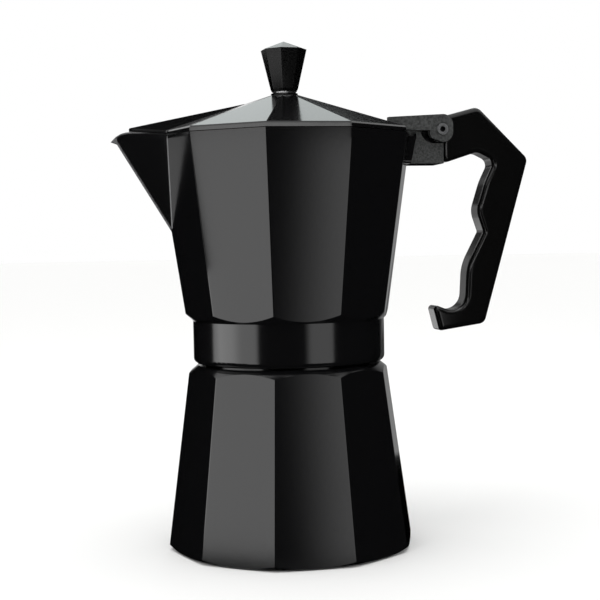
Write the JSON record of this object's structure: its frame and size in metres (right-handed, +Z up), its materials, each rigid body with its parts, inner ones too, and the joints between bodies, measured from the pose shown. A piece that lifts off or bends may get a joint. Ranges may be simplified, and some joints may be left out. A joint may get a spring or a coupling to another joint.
{
  "type": "moka pot",
  "caption": "Stovetop coffee pot: faceted boiler screwed to a faceted collector with spout, hinged lid with knob, side handle, inner funnel, gasket, filter plate and safety valve.",
  "frame": {"origin": "centre of the boiler's foot, on the surface it stands on", "axes": "+Z up, +X towards the handle, -X towards the spout, +Y towards the safety valve"},
  "size_m": [0.1816, 0.1104, 0.2161],
  "materials": {
    "black_enamel": "gloss black enamel on cast aluminium",
    "black_moulding": "glossy moulded",
    "bare_aluminium": "satin",
    "silicone": "matte",
    "brass": "turned",
    "steel": "satin"
  },
  "bodies": {
    "boiler_unit": {"boiler": "black_enamel", "funnel": "bare_aluminium", "funnel_filter": "bare_aluminium", "valve_body": "brass", "valve_washer": "silicone", "valve_cap": "brass", "valve_spring": "steel"},
    "valve_poppet": {"valve_stem": "brass"},
    "seal": {"gasket": "silicone", "filter_plate": "bare_aluminium"},
    "collector_unit": {"collector": "black_enamel", "riser_column": "bare_aluminium", "handle": "black_moulding", "hinge_pin": "steel"},
    "lid_unit": {"lid": "black_enamel", "knob": "black_moulding", "knob_insert": "brass", "knob_screw": "steel", "knob_washer": "bare_aluminium"}
  },
  "joints": [
    {"name": "unscrew_lift", "type": "slide", "parent": "boiler_unit", "child": "seal", "axis": [0, 0, 1], "range_m": [0, 0.0106]},
    {"name": "unscrew_turn", "type": "hinge", "parent": "seal", "child": "collector_unit", "pos_m": [0, 0, 0.0866], "axis": [0, 0, 1], "range_deg": [0, 945]},
    {"name": "lid_hinge", "type": "hinge", "parent": "collector_unit", "child": "lid_unit", "pos_m": [0.0667, 0, 0.1778], "axis": [0, 1, 0], "range_deg": [0, 110]},
    {"name": "valve_lift", "type": "slide", "parent": "boiler_unit", "child": "valve_poppet", "axis": [0, 1, 0], "range_m": [0, 0.002], "stiffness_N_per_m": 400, "springref_m": -0.003, "deforming": ["valve_spring"]}
  ],
  "couplings": [
    {"joint": "unscrew_lift", "follows": "unscrew_turn", "m_per_rad": 0.00063662}
  ]
}
